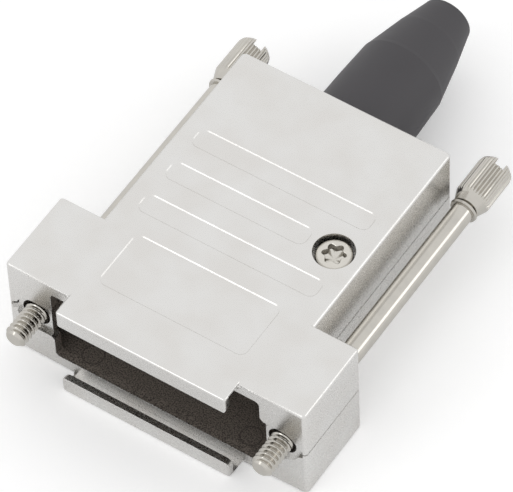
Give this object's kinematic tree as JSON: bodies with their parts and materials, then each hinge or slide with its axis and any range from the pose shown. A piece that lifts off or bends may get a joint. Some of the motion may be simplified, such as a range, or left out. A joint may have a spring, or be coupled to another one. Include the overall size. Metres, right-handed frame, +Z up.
{
  "type": "d-sub hood",
  "caption": "Die-cast metal hood for a 15-way D-sub connector, straight cable exit, long knurled jackscrews and a rubber bend relief.",
  "frame": {"origin": "middle of the underside of the whole piece's bounding box", "axes": "+Y along the cable, away from the connector; +X to the right seen from the connector side; +Z up, through the shell with the label field"},
  "size_m": [0.0402, 0.0658, 0.015],
  "materials": {
    "cast_shell_top": "nickel-plated zinc die casting, satin",
    "cast_shell_bottom": "nickel-plated zinc die casting, satin",
    "turned_screw_left": "nickel-plated steel, turned and knurled",
    "turned_screw_right": "nickel-plated steel, turned and knurled",
    "spring_ring": "spring steel, oiled",
    "hood_screw": "nickel-plated steel",
    "clamp_steel": "zinc-plated sheet steel",
    "clamp_screws": "zinc-plated steel",
    "black_rubber": "moulded soft PVC, matt"
  },
  "bodies": {
    "hood": {"top_shell": "cast_shell_top", "bottom_shell": "cast_shell_bottom", "assembly_screw_right": "hood_screw", "assembly_screw_left": "hood_screw", "cable_clamp": "clamp_steel", "clamp_screw_left": "clamp_screws", "clamp_screw_right": "clamp_screws", "bend_relief": "black_rubber"},
    "left_slider": {"retaining_ring_left": "spring_ring"},
    "left_screw": {"jackscrew_left": "turned_screw_left"},
    "right_slider": {"retaining_ring_right": "spring_ring"},
    "right_screw": {"jackscrew_right": "turned_screw_right"}
  },
  "joints": [
    {"name": "left_screw_travel", "type": "slide", "parent": "hood", "child": "left_slider", "axis": [0, 1, 0], "range_m": [-0.0023, 0.004]},
    {"name": "left_screw_turn", "type": "hinge", "parent": "left_slider", "child": "left_screw", "pos_m": [-0.01666, -0.0235, 0.0075], "axis": [0, 1, 0], "continuous": true},
    {"name": "right_screw_travel", "type": "slide", "parent": "hood", "child": "right_slider", "axis": [0, 1, 0], "range_m": [-0.0023, 0.004]},
    {"name": "right_screw_turn", "type": "hinge", "parent": "right_slider", "child": "right_screw", "pos_m": [0.01666, -0.0235, 0.0075], "axis": [0, 1, 0], "continuous": true}
  ]
}
